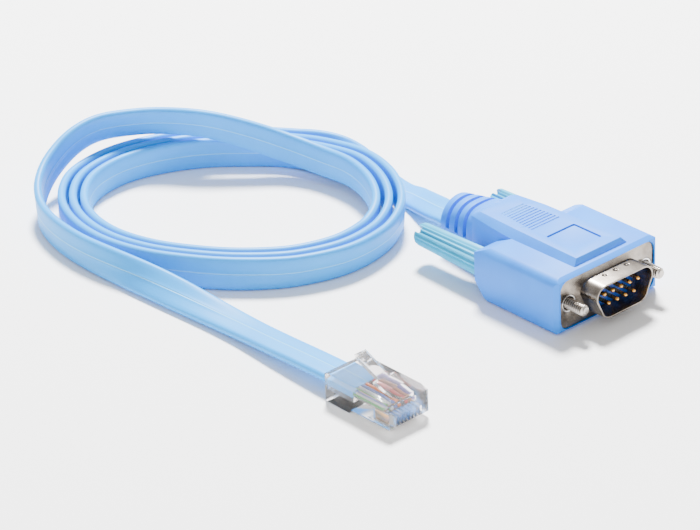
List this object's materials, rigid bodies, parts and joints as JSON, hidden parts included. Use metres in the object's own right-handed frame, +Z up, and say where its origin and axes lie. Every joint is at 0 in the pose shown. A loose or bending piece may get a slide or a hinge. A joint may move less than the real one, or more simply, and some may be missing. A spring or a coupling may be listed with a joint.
{
  "type": "serial adapter lead",
  "caption": "Serial adapter lead: D-shaped pin connector with moulded hood and thumbscrews, flat coiled cord, clear modular plug.",
  "frame": {"origin": "middle of the connector's bounding box, at the floor it lies on; the connector is the hood, D shell and thumbscrews, without the cord and plug", "axes": "+X out of the D shell's mating mouth, +Z up from the floor, +Y to the left when looking out of the mouth, which is the connector's width"},
  "size_m": [0.1506, 0.09, 0.0173],
  "materials": {
    "hood_vinyl": "satin moulded vinyl",
    "plated_steel": "nickel plated, satin",
    "blue_insulator": "moulded, semi-gloss",
    "gold_plate": "gold-plated contact",
    "grip_plastic": "satin moulded plastic",
    "lead_vinyl": "satin extruded vinyl",
    "clear_plastic": "clear polished polycarbonate",
    "wire_green": "wire insulation",
    "wire_grey": "wire insulation",
    "wire_blue": "wire insulation",
    "wire_orange": "wire insulation",
    "wire_black": "wire insulation",
    "wire_red": "wire insulation",
    "wire_brown": "wire insulation",
    "wire_violet": "wire insulation"
  },
  "bodies": {
    "connector": {"hood": "hood_vinyl", "d_shell": "plated_steel", "insulator": "blue_insulator", "pin_1": "gold_plate", "pin_2": "gold_plate", "pin_3": "gold_plate", "pin_4": "gold_plate", "pin_5": "gold_plate", "pin_6": "gold_plate", "pin_7": "gold_plate", "pin_8": "gold_plate", "pin_9": "gold_plate", "lead_plug_end": "lead_vinyl", "lead_coil": "lead_vinyl", "lead_hood_end": "lead_vinyl", "plug": "clear_plastic", "contact_1": "gold_plate", "contact_2": "gold_plate", "contact_3": "gold_plate", "contact_4": "gold_plate", "contact_5": "gold_plate", "contact_6": "gold_plate", "contact_7": "gold_plate", "contact_8": "gold_plate", "wire_1": "wire_green", "wire_2": "wire_grey", "wire_3": "wire_blue", "wire_4": "wire_orange", "wire_5": "wire_black", "wire_6": "wire_red", "wire_7": "wire_brown", "wire_8": "wire_violet"},
    "thumbscrew_near": {"grip_near": "grip_plastic", "screw_near": "plated_steel"},
    "thumbscrew_far": {"grip_far": "grip_plastic", "screw_far": "plated_steel"}
  },
  "joints": [
    {"name": "thumbscrew_near_turn", "type": "hinge", "parent": "connector", "child": "thumbscrew_near", "pos_m": [-0.015, -0.01249, 0.0072], "axis": [1, 0, 0], "continuous": true},
    {"name": "thumbscrew_far_turn", "type": "hinge", "parent": "connector", "child": "thumbscrew_far", "pos_m": [-0.015, 0.01249, 0.0072], "axis": [1, 0, 0], "continuous": true}
  ]
}
